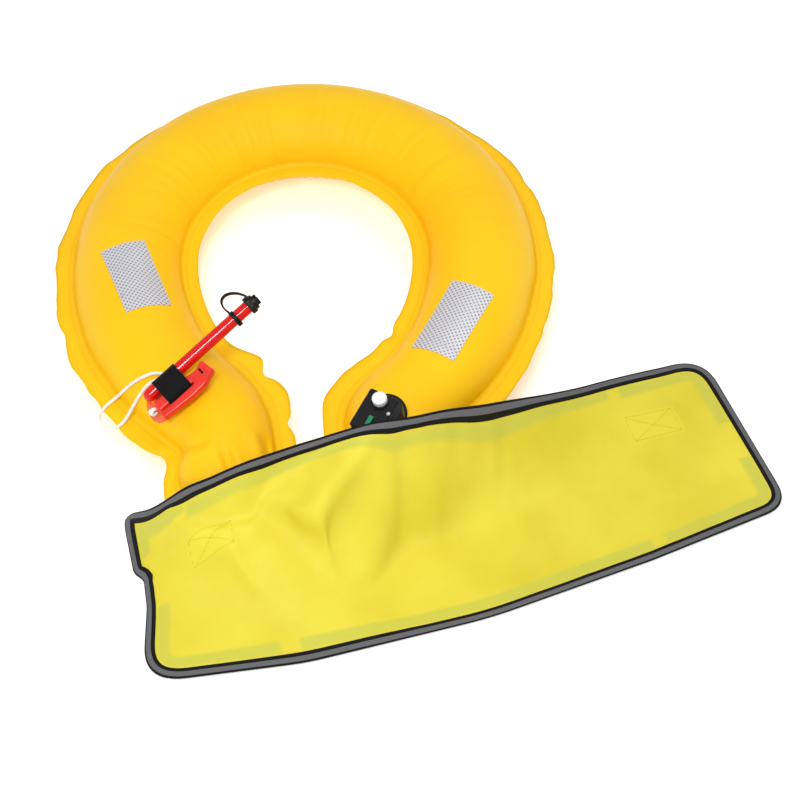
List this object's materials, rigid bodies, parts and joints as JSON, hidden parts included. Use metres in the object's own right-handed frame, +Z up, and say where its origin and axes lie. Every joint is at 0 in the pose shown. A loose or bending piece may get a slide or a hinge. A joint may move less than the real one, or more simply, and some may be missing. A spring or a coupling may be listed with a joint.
{
  "type": "inflatable life jacket",
  "caption": "Inflated belt-pack life jacket: horseshoe bladder with oral tube, whistle and gas inflator, its storage cover laid open in front.",
  "frame": {"origin": "on the floor, under the middle of the jacket's box", "axes": "+Z up from the floor the jacket lies on, +Y from the open cover towards the nape of the bladder, +X to the wearer's side of the cover's far end"},
  "size_m": [0.7925, 0.8288, 0.1597],
  "materials": {
    "bladder": "polyurethane-coated nylon, satin",
    "reflective": "retro-reflective tape, printed with a dot pattern",
    "flange_red": "translucent orange-red polyurethane",
    "tube_red": "glossy red polyurethane",
    "black_plastic": "moulded black plastic",
    "black_rubber": "soft black rubber",
    "elastic": "black knitted elastic",
    "whistle": "orange-red moulded plastic",
    "cord": "white braided cord",
    "white_plastic": "white moulded plastic",
    "green_plastic": "green moulded plastic",
    "steel": "plain steel",
    "bottle": "zinc-plated steel gas bottle",
    "cover": "neon yellow coated nylon",
    "hook": "black hook and loop tape",
    "binding": "grey reflective binding tape with black edges",
    "webbing": "black webbing"
  },
  "bodies": {
    "jacket": {"bladder_upper_skin": "bladder", "bladder_lower_skin": "bladder", "reflective_patch_left": "reflective", "reflective_patch_right": "reflective", "tube_flange": "flange_red", "inflator_manifold": "black_rubber", "lower_gasket": "black_rubber", "inflator_body": "black_plastic", "collar_washer": "black_rubber", "cap_nut": "white_plastic", "lever_pivot_pin": "steel", "bottle_gasket": "black_rubber", "co2_cylinder": "bottle", "cover_panel": "cover", "cover_binding": "binding", "hook_strip_rear": "hook", "hook_strip_front": "hook", "hook_strip_left_rear": "hook", "hook_strip_right_rear": "hook", "hook_strip_left_front": "hook", "hook_strip_right_front": "hook", "belt_loop_left": "webbing", "belt_loop_right": "webbing", "whistle_cord": "cord", "pull_cord": "cord", "pull_handle": "black_plastic"},
    "oral_tube": {"oral_tube": "tube_red", "check_valve_body": "white_plastic", "tether_ring": "black_rubber", "cap_tether": "black_rubber", "elastic_band": "elastic"},
    "valve_poppet": {"valve_poppet": "white_plastic"},
    "dust_cap": {"dust_cap": "black_rubber"},
    "whistle": {"whistle": "whistle", "whistle_knot": "cord"},
    "pull_lever": {"pull_lever": "black_plastic"},
    "firing_pin": {"firing_pin": "steel"},
    "indicator_clip": {"indicator_clip": "green_plastic"}
  },
  "joints": [
    {"name": "oral_tube_lift", "type": "hinge", "parent": "jacket", "child": "oral_tube", "pos_m": [-0.262, -0.123, 0.098], "axis": [0.6101, -0.7923, 0], "range_deg": [0, 45]},
    {"name": "valve_press", "type": "slide", "parent": "oral_tube", "child": "valve_poppet", "axis": [-0.7367, -0.5673, -0.3681], "range_m": [0, 0.003], "stiffness_N_per_m": 150, "springref_m": -0.001},
    {"name": "dust_cap_pull", "type": "slide", "parent": "oral_tube", "child": "dust_cap", "axis": [0.7367, 0.5673, 0.3681], "range_m": [0, 0.02]},
    {"name": "whistle_draw", "type": "slide", "parent": "oral_tube", "child": "whistle", "axis": [0.7367, 0.5673, 0.3681], "range_m": [0, 0.03]},
    {"name": "lever_pull", "type": "hinge", "parent": "jacket", "child": "pull_lever", "pos_m": [-0.03647, -0.15149, 0.10804], "axis": [0.1294, 0.2241, -0.9659], "range_deg": [0, 80]},
    {"name": "firing_pin_strike", "type": "slide", "parent": "jacket", "child": "firing_pin", "axis": [-0.483, -0.8365, -0.2588], "range_m": [0, 0.003]},
    {"name": "indicator_clip_lift", "type": "slide", "parent": "jacket", "child": "indicator_clip", "axis": [-0.1294, -0.2241, 0.9659], "range_m": [0, 0.005]}
  ],
  "couplings": [
    {"joint": "firing_pin_strike", "follows": "lever_pull", "m_per_rad": 0.0021464}
  ]
}
